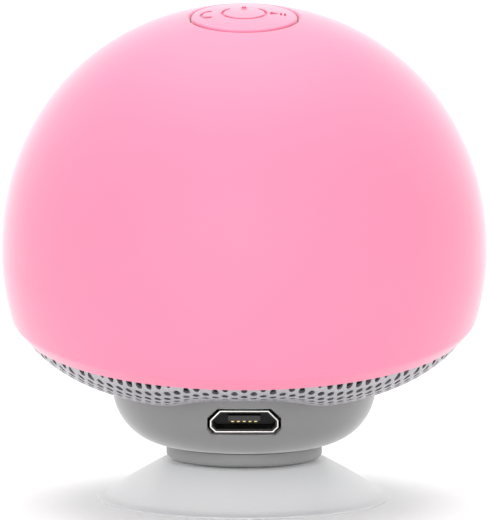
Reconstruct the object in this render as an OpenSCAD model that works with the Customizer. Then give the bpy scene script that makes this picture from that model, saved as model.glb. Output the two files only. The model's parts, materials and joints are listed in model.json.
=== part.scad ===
// Shower speaker: a silicone-skinned dome on a perforated dish, a small bowl and a suction cup.
// The foot (cup, collar, bowl) stands upright on +Z. The head (dome, grille, driver, battery, key)
// leans forward over it, so its modules are drawn upright and placed by on_head().

/* [Head] */
// Diameter of the dome over its silicone skin
head_d = 55; // [54:0.5:70]
// Forward lean of the head over its foot, in degrees
head_lean = 8; // [0:0.5:9]
// Height of the point that the head leans about
lean_z = 13.2; // [12.5:0.1:14]
// Angle below the dome's equator at which the skin ends, in degrees
rim_angle = 20.8; // [19:0.1:23]
// Height of the skin's lower edge, measured upright
rim_z = 19.45; // [19.2:0.05:20]
// How far the skin's lower edge is rolled in from the dome
skin_roll = 0.75; // [0.6:0.05:0.9]
// Thickness of the silicone skin
skin_t = 1.5; // [1.2:0.1:2]
// Height of the skin's inward lip under the dome
lip_t = 1.85; // [1.8:0.05:2.1]
// Wall of the hard dome under the skin
dome_t = 1.6; // [1.2:0.1:2]

/* [Grille] */
// Thickness of the perforated sheet
sheet_t = 0.6; // [0.4:0.05:0.8]
// Radius of the sheet's rolled shoulder
shoulder_r = 13; // [12.6:0.1:13.4]
// Slope of the shoulder where it meets the skin, in degrees
shoulder_slope = 51; // [50:0.5:53]
// Slope at which the sheet stops short of the skin, in degrees
sheet_end_slope = 48; // [46:0.5:48.5]
// Slope of the dish inside the shoulder, in degrees
dish_slope = 4; // [3:0.5:5]
// Height of the bowl's rim inside the dish, measured upright
neck_z = 16.54; // [16.4:0.05:17]
// Thickness of the acoustic cloth behind the sheet
cloth_t = 0.25; // [0.15:0.05:0.4]

/* [Foot] */
// Diameter of the bowl
bowl_d = 29.84; // [29:0.1:36]
// Radius of the bowl's rounded underside
bowl_round = 6.57; // [6:0.1:7]
// Wall of the bowl
bowl_t = 1.5; // [1.2:0.1:1.8]
// Diameter of the collar
collar_d = 17.66; // [17:0.1:20]
// Height of the collar's underside above the surface
collar_z = 4.75; // [4.6:0.05:5.5]
// Height of the collar
collar_h = 1.55; // [1.4:0.05:2]
// Diameter of the suction cup's lip
cup_d = 33.28; // [31:0.2:40]
// Thickness of the suction cup's lip
cup_lip_t = 0.35; // [0.3:0.05:0.6]
// Depth of the hollow under the suction cup
cup_hollow = 1.9; // [1.7:0.1:2.1]

/* [Key] */
// Diameter of the round hole in the skin
key_hole_d = 12.4; // [11:0.1:14]
// Travel of the key and of the switch under it
key_travel = 0.3; // [0.2:0.05:0.4]

/* [Driver] */
// Outer diameter of the driver's frame
driver_d = 36; // [30:0.5:38]
// Depth of the driver's basket behind its flange
basket_h = 6.9; // [6:0.1:8]
// Diameter of the ring magnet
magnet_d = 25; // [20.5:0.5:27]
// Thickness of the ring magnet
magnet_t = 5; // [3:0.5:6]
// Radius of the voice coil's former
coil_r = 4.6; // [4.2:0.1:5]

/* [Battery] */
// Length, width and thickness of the flat cell
cell = [29, 20, 4.5]; // [10:0.5:34]

/* [Socket] */
// Height of the charging socket's centre
socket_z = 10.75; // [10.5:0.05:11.5]
// Width of the socket's metal shell
socket_w = 7.7; // [7:0.1:8]
// Height of the socket's metal shell
socket_h = 2.5; // [2.2:0.05:2.8]
// Depth of the socket's metal shell
socket_depth = 5.2; // [4.6:0.1:5.6]

/* [Hidden] */
$fn = 96;

// Clearances
fit_gap = 0.08;       // radial gap of a running fit
seat_gap = 0.05;      // gap where two pieces meet
loose_gap = 0.3;      // gap between the cup and the collar that turns over it
thread_gap = 0.05;    // radial gap round a screw's shank
cut = 0.1;            // how far a cutting tool runs past the face it cuts

// Grille: the shoulder is an arc about (arc_x, arc_z), tangent to the shallow cone of the dish
head_r = head_d / 2;
bowl_r = bowl_d / 2;
rim_r = head_r * cos(rim_angle) - skin_roll;
arc_x = rim_r - shoulder_r * sin(shoulder_slope);
arc_z = rim_z + shoulder_r * cos(shoulder_slope);
head_z = rim_z + head_r * sin(rim_angle);
// The leaning sheet's hole clears the upright bowl
sheet_in_x = bowl_r / cos(head_lean) + (neck_z - lean_z) * sin(head_lean) - seat_gap;

// Dome
dome_r = head_r - skin_t - 0.1;
dome_in_r = dome_r - dome_t;
dome_z = rim_z + lip_t + seat_gap;
dome_in_x = sqrt(dome_in_r ^ 2 - (head_z - dome_z) ^ 2);

// Baffle: a ring under the dome, and a lower hub ring that the bowl is screwed to
baffle_t = 1.5;
baffle_r = dome_in_x + 0.7;
baffle_z = dome_z - baffle_t;
hub_r = bowl_r - 0.5;
hub_z = neck_z + seat_gap;
hub_t = 1.5;
hub_top_z = hub_z + hub_t;
spoke_angles = [90, 210, 330];
spoke_w = 3;
spoke_z = hub_z + 0.75;         // underside of the spokes, clear of the cloth
dome_screw_angles = [45, 135, 225, 315];
dome_boss_r = 2;
dome_boss_x = dome_in_x - 1.4;
dome_boss_h = 7;
lead_slot_w = 3;
lead_slot_angles = [0, 180, 62];
lead_x = dome_in_x - 2.1;      // distance of the leads from the head's axis at the baffle

// Driver, facing down, stacked from its gasket up
driver_r = driver_d / 2;
gasket_t = 0.5;
flange_t = 1;
frame_t = 0.8;
driver_open_r = driver_r - 1.8;
flange_z = dome_z + gasket_t;
flange_top_z = flange_z + flange_t;
basket_top_z = flange_z + basket_h;
basket_back_r = magnet_d / 2 - 0.1;
top_plate_t = 2;
top_plate_z = basket_top_z;
magnet_z = top_plate_z + top_plate_t;
yoke_z = magnet_z + magnet_t;
yoke_t = 2;
yoke_top_z = yoke_z + yoke_t;
pole_r = coil_r - 0.35;
gap_r = coil_r + 0.45;
coil_t = 0.15;
winding_t = 0.15;
winding_h = 3;
cone_out_x = driver_open_r - 2.8;
cone_z = flange_z + 0.45;      // height of the cone's wide edge
cone_top_z = basket_top_z - 2.15;
cone_t = 0.35;
spider_z = cone_top_z + 0.55;
spider_t = 0.3;
spider_r = basket_back_r - 1.4;

// Battery, on a foam pad over the yoke
pad_t = 0.8;
cell_z = yoke_top_z + pad_t;
guard_t = 0.8;

// Key and switch, hung from the top of the dome
seat_z = head_z + dome_r - 0.75;      // flat seat cut on top of the dome
key_r = key_hole_d / 2 - 0.25;
key_z = seat_z + key_travel + 0.25;
plunger_head_r = 4;
plunger_head_t = 0.5;
plunger_r = 1.42;
switch_w = 6;
switch_h = 3.5;
stem_r = 1.7;
stem_up = 0.9;
stem_down = 0.6;
stem_top_z = seat_z - 1.96;
switch_top_z = stem_top_z - stem_up;
key_board_z = switch_top_z - switch_h;      // top face of the button board
key_board_t = 1;
key_board_r = 7.4;
key_boss_y = 5.8;
key_boss_r = 1.5;

// Foot
bowl_z = collar_z + collar_h;
bowl_arc_x = bowl_r - bowl_round;
bowl_arc_z = bowl_z + bowl_round;
bowl_in_r = bowl_r - bowl_t;
floor_z = bowl_z + bowl_t;
collar_r = collar_d / 2;
collar_round = 0.45;
stud_r = 3.1;
stud_flange_r = 6;
stud_flange_z = 2.6;
stud_flange_t = 1;
stud_top_z = floor_z + 0.1;
cup_r = cup_d / 2;
cup_top_z = collar_z - loose_gap;
cup_top_r = collar_r + 0.5;
cup_land = 0.85;               // width of the lip beyond the cup's cone
cup_seat_r = cup_r - 1.45;     // inner radius of the flat ring that seals on the surface
hollow_r = (cup_seat_r ^ 2 + cup_hollow ^ 2) / (2 * cup_hollow);
washer_r = 4.6;
washer_t = 0.8;
collar_screw_x = 6.6;
post_x = bowl_in_r - 2.2;
post_r = 1.9;
post_angles = spoke_angles;

// Charging socket and main board
port_gap = 0.3;
socket_wall = 0.3;
bowl_face_x = bowl_arc_x + sqrt(bowl_round ^ 2 - (bowl_arc_z - socket_z) ^ 2);
mouth_y = 0.65 - bowl_face_x;  // the shell's mouth, just inside the bowl's surface
tongue_w = 3.6;
tongue_t = 0.6;
board_t = 1;
board_z = socket_z + socket_h / 2 + seat_gap;
board_top_z = board_z + board_t;
board_r = bowl_in_r - 0.5;
board_boss_x = board_r - 3.1;
board_boss_r = 1.7;
board_boss_angles = [30, 150];

// Leads: round wires laid in pairs. Points are [distance from the axis, height], upright.
lead_r = 0.42;
lead_pitch = 1.15;
lead_sides = 8;
over_hub_z = hub_top_z + 0.9;
under_baffle_z = baffle_z - 0.75;
hub_pass_x = post_x - 2.92;
lead_start = [
    [hub_pass_x, hub_z - 1.6], [hub_pass_x, hub_z], [hub_pass_x + 0.3, hub_top_z + 0.1],
    [hub_pass_x + 1.7, over_hub_z], [hub_r - 1.2, over_hub_z], [hub_r + 0.6, over_hub_z - 0.1],
    [min(hub_r + 2.6, lead_x - 2.4), under_baffle_z], [lead_x - 1.6, under_baffle_z + 0.05],
    [lead_x - 0.3, baffle_z + 0.3], [lead_x, dome_z + 1.2]
];

// ---------------------------------------------------------------- helpers

// Places upright parts of the head over the foot
module on_head() {
    translate([0, 0, lean_z]) rotate([head_lean, 0, 0]) translate([0, 0, -lean_z]) children();
}

module disc(r, z, h) {
    translate([0, 0, z]) cylinder(r = r, h = h);
}

module ring(r, bore, z, h) {
    difference() {
        disc(r, z, h);
        disc(bore, z - cut, h + 2 * cut);
    }
}

// Repeats its children at a distance from the axis, at each angle
module around(angles, x) {
    for (a = angles) rotate([0, 0, a]) translate([x, 0, 0]) children();
}

// A screw with its head's underside at z = 0, its shank downwards
module screw(shank_r, shank_l, screw_head_r, screw_head_h) {
    slot_w = 0.45;
    difference() {
        union() {
            cylinder(r = screw_head_r, h = screw_head_h);
            translate([0, 0, -shank_l]) cylinder(r = shank_r, h = shank_l);
        }
        for (a = [0, 90]) rotate([0, 0, a])
            translate([-screw_head_r * 0.6, -slot_w / 2, screw_head_h * 0.5])
                cube([screw_head_r * 1.2, slot_w, screw_head_h]);
    }
}

// Point of the dish's shoulder at a slope, at a depth inside the outer face
function shoulder_point(slope, depth) =
    [arc_x + (shoulder_r - depth) * sin(slope), arc_z - (shoulder_r - depth) * cos(slope)];

// Point of the dish's cone at a distance from the axis, at a depth inside the outer face
function cone_point(x, depth) =
    let (p = shoulder_point(dish_slope, depth)) [x, p[1] - (p[0] - x) * tan(dish_slope)];

// Section of a sheet that follows the dish between two depths, out to a slope on the shoulder
module dish_section(near, far, inner_x, end_slope) {
    steps = 14;
    slopes = [for (i = [0:steps]) dish_slope + (end_slope - dish_slope) * i / steps];
    start_x = min(inner_x, arc_x);
    intersection() {
        polygon(concat(
            [cone_point(start_x, near)],
            [for (a = slopes) shoulder_point(a, near)],
            [for (i = [steps:-1:0]) shoulder_point(slopes[i], far)],
            [cone_point(start_x, far)]
        ));
        translate([inner_x, 0]) square([head_r, head_z]);
    }
}

// Section of a spherical shell of the head, between two radii, above a height
module dome_section(outer, inner, low_z, bore = 0) {
    intersection() {
        translate([0, head_z]) difference() {
            circle(outer);
            circle(inner);
        }
        translate([bore, low_z]) square([2 * head_r, 3 * head_r]);
    }
}

// Outline of the charging socket: chamfered upper corners, small lower ones
function port_outline(grow) =
    let (w = socket_w / 2 + grow, h = socket_h / 2 + grow, top = 1.1 + grow * 0.6, low = 0.6 + grow * 0.6)
    [
        [-w, h - top], [-w + top, h], [w - top, h], [w, h - top],
        [w, -h + low], [w - low, -h], [-w + low, -h], [-w, -h + low]
    ];

// The port's outline, extruded backwards from a place on the Y axis
module port_prism(grow, front_y, depth) {
    translate([0, front_y + depth, socket_z]) rotate([90, 0, 0])
        linear_extrude(depth) polygon(port_outline(grow));
}

// A smooth curve through points
function blend4(a, b, c, d, t) =
    0.5 * (2 * b + (c - a) * t + (2 * a - 5 * b + 4 * c - d) * t ^ 2
        + (3 * b - a - 3 * c + d) * t ^ 3);
function curve(p, steps) = [
    for (i = [0:len(p) - 2]) for (j = [0:steps - 1])
        blend4(p[max(i - 1, 0)], p[i], p[i + 1], p[min(i + 2, len(p) - 1)], j / steps),
    p[len(p) - 1]
];
function heading(p, i) =
    let (d = p[min(i + 1, len(p) - 1)] - p[max(i - 1, 0)]) d / norm(d);

// A round lead that keeps to a plane whose normal is given
module lead(points, normal) {
    p = curve(points, 3);
    corners = [
        for (i = [0:len(p) - 1]) let (side = cross(normal, heading(p, i)))
            for (k = [0:lead_sides - 1]) let (a = 360 * k / lead_sides)
                p[i] + lead_r * (cos(a) * normal + sin(a) * side)
    ];
    rings = len(p);
    polyhedron(corners, concat(
        [[for (k = [0:lead_sides - 1]) k]],
        [[for (k = [lead_sides - 1:-1:0]) (rings - 1) * lead_sides + k]],
        [for (i = [0:rings - 2]) for (k = [0:lead_sides - 1])
            let (n = (k + 1) % lead_sides, a = i * lead_sides, b = a + lead_sides)
                [a + k, b + k, b + n, a + n]]
    ));
}

// Two leads side by side from the main board, along a route of [distance, height] points
module lead_pair(route, angle) {
    drop = -sin(angle) * hub_pass_x * tan(head_lean);
    first = [[hub_pass_x, board_top_z + 0.15 + drop]];
    rotate([0, 0, angle]) for (side = [-1, 1])
        lead([for (q = concat(first, route)) [q[0], side * lead_pitch / 2, q[1]]], [0, 1, 0]);
}

// ---------------------------------------------------------------- foot

// Rubber cup, with a hollow under it and a pocket round the stud's flange
module suction_cup() color("aliceblue") difference() {
    rotate_extrude() polygon([
        [0, 0], [cup_r - 0.15, 0], [cup_r, 0.15], [cup_r - 0.1, cup_lip_t],
        [cup_r - cup_land, cup_lip_t + 0.05], [cup_top_r, cup_top_z], [0, cup_top_z]
    ]);
    rotate_extrude() intersection() {
        translate([0, cup_hollow - hollow_r]) circle(hollow_r, $fn = 192);
        translate([0, 0]) square([cup_seat_r, cup_hollow + cut]);
    }
    disc(stud_flange_r + seat_gap, stud_flange_z - seat_gap, stud_flange_t + 2 * seat_gap);
    disc(stud_r + seat_gap, stud_flange_z, cup_top_z);
}

module cup_stud() color("gainsboro") difference() {
    union() {
        disc(stud_flange_r, stud_flange_z, stud_flange_t);
        disc(stud_r, stud_flange_z, stud_top_z - stud_flange_z);
    }
    disc(1.1 + thread_gap, stud_flange_z + 0.5, stud_top_z);
}

module cup_washer() color("silver")
    ring(washer_r, 1.1 + thread_gap, stud_top_z, washer_t);

module cup_screw() color("silver")
    translate([0, 0, stud_top_z + washer_t])
        screw(1.1, stud_top_z + washer_t - stud_flange_z - 0.9, 2.3, 1.1);

module collar() color("lightslategray") difference() {
    rotate_extrude() union() {
        translate([stud_r + fit_gap, collar_z])
            square([collar_r - collar_round - stud_r - fit_gap, collar_h]);
        translate([collar_r - collar_round, collar_z + collar_round])
            square([collar_round, collar_h - collar_round]);
        translate([collar_r - collar_round, collar_z + collar_round]) circle(collar_round);
    }
    around(spoke_angles, collar_screw_x) disc(0.75, collar_z + 0.35, collar_h);
}

module collar_screws() color("silver")
    around(spoke_angles, collar_screw_x) translate([0, 0, floor_z]) screw(0.7, 2.4, 1.3, 0.8);

// Solid outside shape of the bowl, before it is hollowed
module bowl_outside() {
    rotate_extrude() union() {
        intersection() {
            translate([bowl_arc_x, bowl_arc_z]) circle(bowl_round);
            square([bowl_r, bowl_arc_z]);
        }
        translate([0, bowl_z]) square([bowl_arc_x, bowl_round]);
        translate([0, bowl_arc_z]) square([bowl_r, bowl_round]);
    }
}

module bowl_hollow() {
    rotate_extrude() union() {
        intersection() {
            translate([bowl_arc_x, bowl_arc_z]) circle(bowl_round - bowl_t);
            square([bowl_r, bowl_arc_z]);
        }
        translate([0, floor_z]) square([bowl_arc_x, bowl_round - bowl_t]);
        translate([0, bowl_arc_z]) square([bowl_in_r, 2 * bowl_round]);
    }
}

// Everything above the leaning plane that the bowl's rim is trimmed to
module above_neck() {
    on_head() disc(2 * bowl_r, neck_z, 2 * neck_z);
}

module base_bowl() color("darkgray") difference() {
    union() {
        difference() {
            bowl_outside();
            bowl_hollow();
            above_neck();
        }
        intersection() {
            bowl_outside();
            on_head() around(post_angles, post_x) disc(post_r, bowl_z, hub_z - bowl_z);
        }
        intersection() {
            bowl_outside();
            around(board_boss_angles, board_boss_x)
                disc(board_boss_r, bowl_z + bowl_t / 2, board_z - bowl_z - bowl_t / 2);
        }
    }
    disc(stud_r + fit_gap, bowl_z - cut, bowl_t + 2 * cut);
    around(spoke_angles, collar_screw_x) disc(0.85, bowl_z - cut, bowl_t + 2 * cut);
    port_prism(port_gap, -bowl_r - cut, 2 * bowl_t + 1);
    on_head() around(post_angles, post_x) disc(0.85 + thread_gap, hub_z - 5.3, 5.4);
    around(board_boss_angles, board_boss_x) disc(0.7 + thread_gap, board_z - 2.2, 2.3);
}

module usb_shell() color("silver") difference() {
    port_prism(0, mouth_y, socket_depth);
    port_prism(-socket_wall, mouth_y - cut, socket_depth - socket_wall + cut);
}

module usb_tongue() color("dimgray")
    translate([-tongue_w / 2, mouth_y + 0.8, socket_z - tongue_t / 2 + 0.25])
        cube([tongue_w, socket_depth - socket_wall - 0.8, tongue_t]);

module usb_contacts() color("goldenrod")
    for (i = [-2:2])
        translate([i * 0.65 - 0.16, mouth_y + 1, socket_z - tongue_t / 2 + 0.25 - 0.12])
            cube([0.32, socket_depth - socket_wall - 1.2, 0.12]);

module main_board() color("darkgreen") difference() {
    disc(board_r, board_z, board_t);
    around(post_angles, post_x) disc(post_r + 0.5, board_z - cut, board_t + 2 * cut);
    around(board_boss_angles, board_boss_x) disc(0.85, board_z - cut, board_t + 2 * cut);
}

module radio_chip() color("black")
    translate([-6.6, -1.2, board_z - 0.9]) cube([5, 5, 0.9]);

module amplifier_chip() color("black")
    translate([2.2, -0.4, board_z - 0.8]) cube([4, 4, 0.8]);

module crystal_can() color("silver")
    translate([-1.6, 5.2, board_z - 0.8]) cube([3.2, 2.4, 0.8]);

module board_capacitors() color("tan")
    for (side = [-1, 1]) translate([side * 5.3, -4.6, board_z - 2.6]) cylinder(r = 1.6, h = 2.6);

module board_screws() color("silver")
    around(board_boss_angles, board_boss_x) translate([0, 0, board_top_z])
        screw(0.7, 3, 1.4, 0.8);

module microphone() color("silver")
    translate([0, -6.8, board_top_z]) cylinder(r = 1.9, h = 1.3);

// ---------------------------------------------------------------- grille and baffle

module grille() color("gainsboro") on_head()
    rotate_extrude() dish_section(0, sheet_t, sheet_in_x, sheet_end_slope);

module acoustic_cloth() color("dimgray") on_head()
    rotate_extrude() dish_section(sheet_t + seat_gap, sheet_t + seat_gap + cloth_t,
        sheet_in_x + 0.1, 38);

module baffle_plate() color("slategray") on_head() difference() {
    union() {
        ring(baffle_r, driver_open_r, baffle_z, baffle_t);
        ring(hub_r, post_x - 2, hub_z, hub_t);
        for (a = spoke_angles) rotate([0, 0, a]) {
            translate([post_x + 1, -spoke_w / 2, spoke_z])
                cube([driver_open_r + 1.6 - post_x - 1, spoke_w, baffle_z + 0.3 - spoke_z]);
            translate([driver_r + 1.4, 0, baffle_z - 0.9]) cylinder(r = 1.7, h = 1);
        }
    }
    around(post_angles, post_x) disc(0.95, hub_z - cut, hub_t + 2 * cut);
    around(post_angles, post_x) disc(1.85, hub_top_z, 3);
    around(spoke_angles, driver_r + 1.4) disc(0.9 + thread_gap, baffle_z - 0.6, 3);
    around(dome_screw_angles, dome_boss_x) disc(1.05, baffle_z - cut, baffle_t + 2 * cut);
    for (a = lead_slot_angles) rotate([0, 0, a])
        translate([driver_open_r - 1, -lead_slot_w / 2, baffle_z - cut])
            cube([lead_x + 2.1 - driver_open_r, lead_slot_w, baffle_t + 2 * cut]);
}

module bowl_screws() color("silver") on_head()
    around(post_angles, post_x) translate([0, 0, hub_top_z]) screw(0.85, 6.2, 1.7, 0.9);

module dome_screws() color("silver") on_head()
    around(dome_screw_angles, dome_boss_x) translate([0, 0, baffle_z]) rotate([180, 0, 0])
        screw(0.9, 6.5, 1.8, 0.9);

// ---------------------------------------------------------------- driver

module driver_gasket() color("black") on_head()
    ring(driver_r, driver_open_r, dome_z, gasket_t);

// Pressed frame: a flange, a tapered wall with four windows, a back plate and the spider's ledge
module driver_basket() color("dimgray") on_head() difference() {
    rotate_extrude() union() {
        polygon([
            [driver_open_r, flange_z], [driver_r, flange_z], [driver_r, flange_top_z],
            [driver_r - 0.9, flange_top_z], [basket_back_r, basket_top_z - 1],
            [basket_back_r, basket_top_z], [gap_r + 1, basket_top_z],
            [gap_r + 1, basket_top_z - frame_t], [basket_back_r - 1, basket_top_z - frame_t],
            [basket_back_r - 1, basket_top_z - 1.3], [driver_open_r, flange_top_z]
        ]);
        translate([spider_r - 0.6, spider_z + spider_t])
            square([basket_back_r - 0.5 - spider_r + 0.6, 0.7]);
    }
    for (a = [45:90:315]) rotate([0, 0, a])
        translate([basket_back_r + 0.2, -3.5, flange_top_z + 0.5])
            cube([driver_r, 7, basket_h - flange_t - 2.2]);
}

module terminal_board() color("saddlebrown") on_head() rotate([0, 0, lead_slot_angles[2]])
    translate([driver_r - 0.85, -2.4, flange_top_z + seat_gap]) cube([0.8, 4.8, 3.6]);

module driver_top_plate() color("silver") on_head()
    ring(magnet_d / 2 - 0.5, gap_r, top_plate_z, top_plate_t);

module driver_magnet() color("darkslategray") on_head()
    ring(magnet_d / 2, gap_r + 1.5, magnet_z, magnet_t);

module driver_yoke() color("silver") on_head() union() {
    disc(magnet_d / 2 - 0.5, yoke_z, yoke_t);
    disc(pole_r, top_plate_z + 0.2, yoke_z - top_plate_z - 0.1);
}

module voice_coil() color("peru") on_head() union() {
    ring(coil_r, coil_r - coil_t, cone_top_z - 0.6, top_plate_z + top_plate_t + 1 - cone_top_z);
    ring(coil_r + winding_t, coil_r - coil_t / 2, top_plate_z - 0.4, winding_h);
}

// Corrugated disc between the voice coil and the basket's ledge
module driver_spider() color("khaki") on_head() {
    land = 0.6;
    outer_x = spider_r - 0.75;
    wave = (outer_x - coil_r - 2 * land) / 4;
    low = [for (i = [0:4]) [coil_r + land + i * wave, spider_z + (i % 2) * 0.5]];
    high = [for (i = [4:-1:0]) [low[i][0], low[i][1] + spider_t]];
    rotate_extrude() polygon(concat(
        [[coil_r + seat_gap, spider_z]], low, [[outer_x, spider_z]],
        [[outer_x, spider_z + spider_t]], high, [[coil_r + seat_gap, spider_z + spider_t]]
    ));
}

module driver_cone() color("black") on_head()
    rotate_extrude() polygon([
        [cone_out_x, cone_z], [cone_out_x, cone_z + cone_t],
        [coil_r + seat_gap + 0.2, cone_top_z + cone_t], [coil_r + seat_gap, cone_top_z],
        [coil_r + seat_gap, cone_top_z - 0.2]
    ]);

// Half roll that bulges towards the front, with a flat land on each side
module driver_surround() color("black") on_head() {
    mid = (cone_out_x + driver_open_r) / 2;
    half = (driver_open_r - cone_out_x) / 2 - 0.35;
    rotate_extrude() union() {
        intersection() {
            translate([mid, cone_z]) difference() {
                circle(half);
                circle(half - 0.3);
            }
            translate([0, cone_z - half]) square([driver_r, half]);
        }
        translate([cone_out_x + seat_gap, cone_z])
            square([mid - half + 0.3 - cone_out_x - seat_gap, 0.3]);
        translate([mid + half - 0.3, cone_z])
            square([driver_open_r - seat_gap - mid - half + 0.3, 0.3]);
    }
}

module dust_cap() color("black") on_head() {
    cap_r = coil_r - coil_t - seat_gap;
    rise = 1.1;
    ball_r = (cap_r ^ 2 + rise ^ 2) / (2 * rise);
    rotate_extrude() intersection() {
        translate([0, cone_top_z - 0.6 + ball_r - rise]) difference() {
            circle(ball_r);
            circle(ball_r - 0.3);
        }
        translate([0, cone_top_z - 0.6 - rise]) square([cap_r, rise]);
    }
}

module driver_screws() color("silver") on_head()
    around(spoke_angles, driver_r + 1.4) translate([0, 0, flange_top_z])
        screw(0.9, flange_top_z - baffle_z + 0.4, 1.9, 0.9);

// ---------------------------------------------------------------- dome, battery and key

module inner_dome() color("whitesmoke") on_head() difference() {
    union() {
        rotate_extrude() dome_section(dome_r, dome_in_r, dome_z);
        intersection() {
            translate([0, 0, head_z]) sphere(r = (dome_r + dome_in_r) / 2);
            union() {
                for (a = dome_screw_angles) rotate([0, 0, a]) {
                    translate([dome_boss_x, 0, dome_z]) cylinder(r = dome_boss_r, h = dome_boss_h);
                    translate([dome_boss_x, -0.6, dome_z]) cube([head_r, 1.2, dome_boss_h]);
                }
                for (side = [-1, 1]) translate([0, side * key_boss_y, key_board_z])
                    cylinder(r = key_boss_r, h = head_r);
                disc(plunger_r + 1.6, seat_z - 1.5, 2);
            }
        }
    }
    disc(head_r, seat_z, head_r);
    disc(plunger_r + fit_gap, seat_z - 3, 4);
    around(dome_screw_angles, dome_boss_x) disc(0.9 + thread_gap, dome_z - cut, 5.3);
    for (side = [-1, 1]) translate([0, side * key_boss_y, key_board_z - cut])
        cylinder(r = 0.7 + thread_gap, h = 3);
}

module battery_pad() color("black") on_head()
    translate([-9, -8, yoke_top_z]) cube([18, 16, pad_t]);

module battery_cell() color("silver") on_head()
    translate([-cell[0] / 2, -cell[1] / 2, cell_z]) cube(cell);

module battery_guard_board() color("darkgreen") on_head()
    translate([cell[0] / 2 + seat_gap, -cell[1] / 2 + 3, cell_z + 0.4])
        cube([guard_t, cell[1] - 6, cell[2] - 0.8]);

module button_board() color("darkgreen") on_head() difference() {
    disc(key_board_r, key_board_z - key_board_t, key_board_t);
    for (side = [-1, 1]) translate([0, side * key_boss_y, 0])
        disc(0.85, key_board_z - key_board_t - cut, key_board_t + 2 * cut);
}

module button_board_screws() color("silver") on_head()
    for (side = [-1, 1]) translate([0, side * key_boss_y, key_board_z - key_board_t])
        rotate([180, 0, 0]) screw(0.7, 3.4, 1.4, 0.8);

module switch_housing() color("black") on_head() difference() {
    translate([-switch_w / 2, -switch_w / 2, key_board_z]) cube([switch_w, switch_w, switch_h]);
    disc(stem_r + fit_gap, switch_top_z - stem_down - key_travel - 0.3, switch_h);
}

module switch_stem() color("white") on_head()
    disc(stem_r, switch_top_z - stem_down, stem_up + stem_down);

module status_led() color("white") on_head()
    translate([3.9, -0.8, key_board_z]) cube([1.6, 1.6, 0.8]);

module button_plunger() color("gainsboro") on_head() union() {
    disc(plunger_head_r, key_z, plunger_head_t);
    disc(plunger_r, stem_top_z + seat_gap, key_z - stem_top_z);
}

// Round key whose top continues the dome
module power_button() color("hotpink") on_head() difference() {
    intersection() {
        translate([0, 0, head_z]) sphere(r = head_r);
        disc(key_r, key_z, head_r);
    }
    disc(plunger_head_r + seat_gap, key_z - cut, plunger_head_t + seat_gap + cut);
}

// The skin's lower edge is rolled in along the line of the shoulder
module silicone_cap() color("hotpink") on_head() rotate_extrude() intersection() {
    union() {
        dome_section(head_r, head_r - skin_t, rim_z, key_hole_d / 2);
        intersection() {
            translate([0, head_z]) circle(head_r);
            translate([baffle_r + 0.15, rim_z]) square([head_r, lip_t]);
        }
    }
    polygon([
        [0, rim_z], [rim_r, rim_z],
        [rim_r + head_r * cos(shoulder_slope), rim_z + head_r * sin(shoulder_slope)],
        [rim_r + head_r * cos(shoulder_slope), 3 * head_r], [0, 3 * head_r]
    ]);
}

// ---------------------------------------------------------------- leads

module speaker_leads() color("red") on_head()
    lead_pair(concat(lead_start, [
        [lead_x - 0.4, flange_top_z + 1.3], [lead_x - 1.3, flange_top_z + 2.1],
        [driver_r + 0.05, flange_top_z + 2.1]
    ]), lead_slot_angles[2]);

module battery_leads() color("firebrick") on_head()
    lead_pair(concat(lead_start, [
        [lead_x + 0.3, dome_z + 6], [lead_x + 0.3, head_z + 2],
        [lead_x - 0.6, cell_z - 3], [lead_x - 1.6, cell_z + 0.6],
        [lead_x - 2.9, cell_z + 2.1], [cell[0] / 2 + guard_t + 1.2, cell_z + 2.3],
        [cell[0] / 2 + guard_t + 0.1, cell_z + 2.3]
    ]), lead_slot_angles[0]);

module button_leads() color("navy") on_head()
    lead_pair(concat(lead_start, [
        [lead_x + 0.3, dome_z + 6], [lead_x + 0.3, head_z + 2],
        [lead_x - 0.8, cell_z - 1], [lead_x - 3.2, cell_z + 3.5],
        [11.5, cell_z + 6.2], [7.6, cell_z + 6.4], [5.8, cell_z + 7.1],
        [5.4, key_board_z - key_board_t - 0.1]
    ]), lead_slot_angles[1]);

suction_cup();
cup_stud();
cup_washer();
cup_screw();
collar();
collar_screws();
base_bowl();
usb_shell();
usb_tongue();
usb_contacts();
main_board();
radio_chip();
amplifier_chip();
crystal_can();
board_capacitors();
board_screws();
microphone();
grille();
acoustic_cloth();
baffle_plate();
bowl_screws();
dome_screws();
driver_gasket();
driver_basket();
terminal_board();
driver_top_plate();
driver_magnet();
driver_yoke();
voice_coil();
driver_spider();
driver_cone();
driver_surround();
dust_cap();
driver_screws();
inner_dome();
battery_pad();
battery_cell();
battery_guard_board();
button_board();
button_board_screws();
switch_housing();
switch_stem();
status_led();
button_plunger();
power_button();
silicone_cap();
speaker_leads();
battery_leads();
button_leads();
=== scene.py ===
# %% [markdown]
# # A small shower speaker
#
# The speaker is a silicone-skinned dome on a perforated metal dish. A grey bowl under the dish
# holds the charging socket, and a clear suction cup under the bowl holds the whole thing on a
# tile or a phone. The measured parts come from the CAD frame. This lesson models the surfaces
# that show, one piece at a time, and gives every part a finish made from nodes.
#
# Everything is in metres, +Z is up and the front, with the socket, faces -Y.

# %% Load the frame
import json
import math

import bpy
import numpy as np
from mathutils import Matrix, Vector


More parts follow.
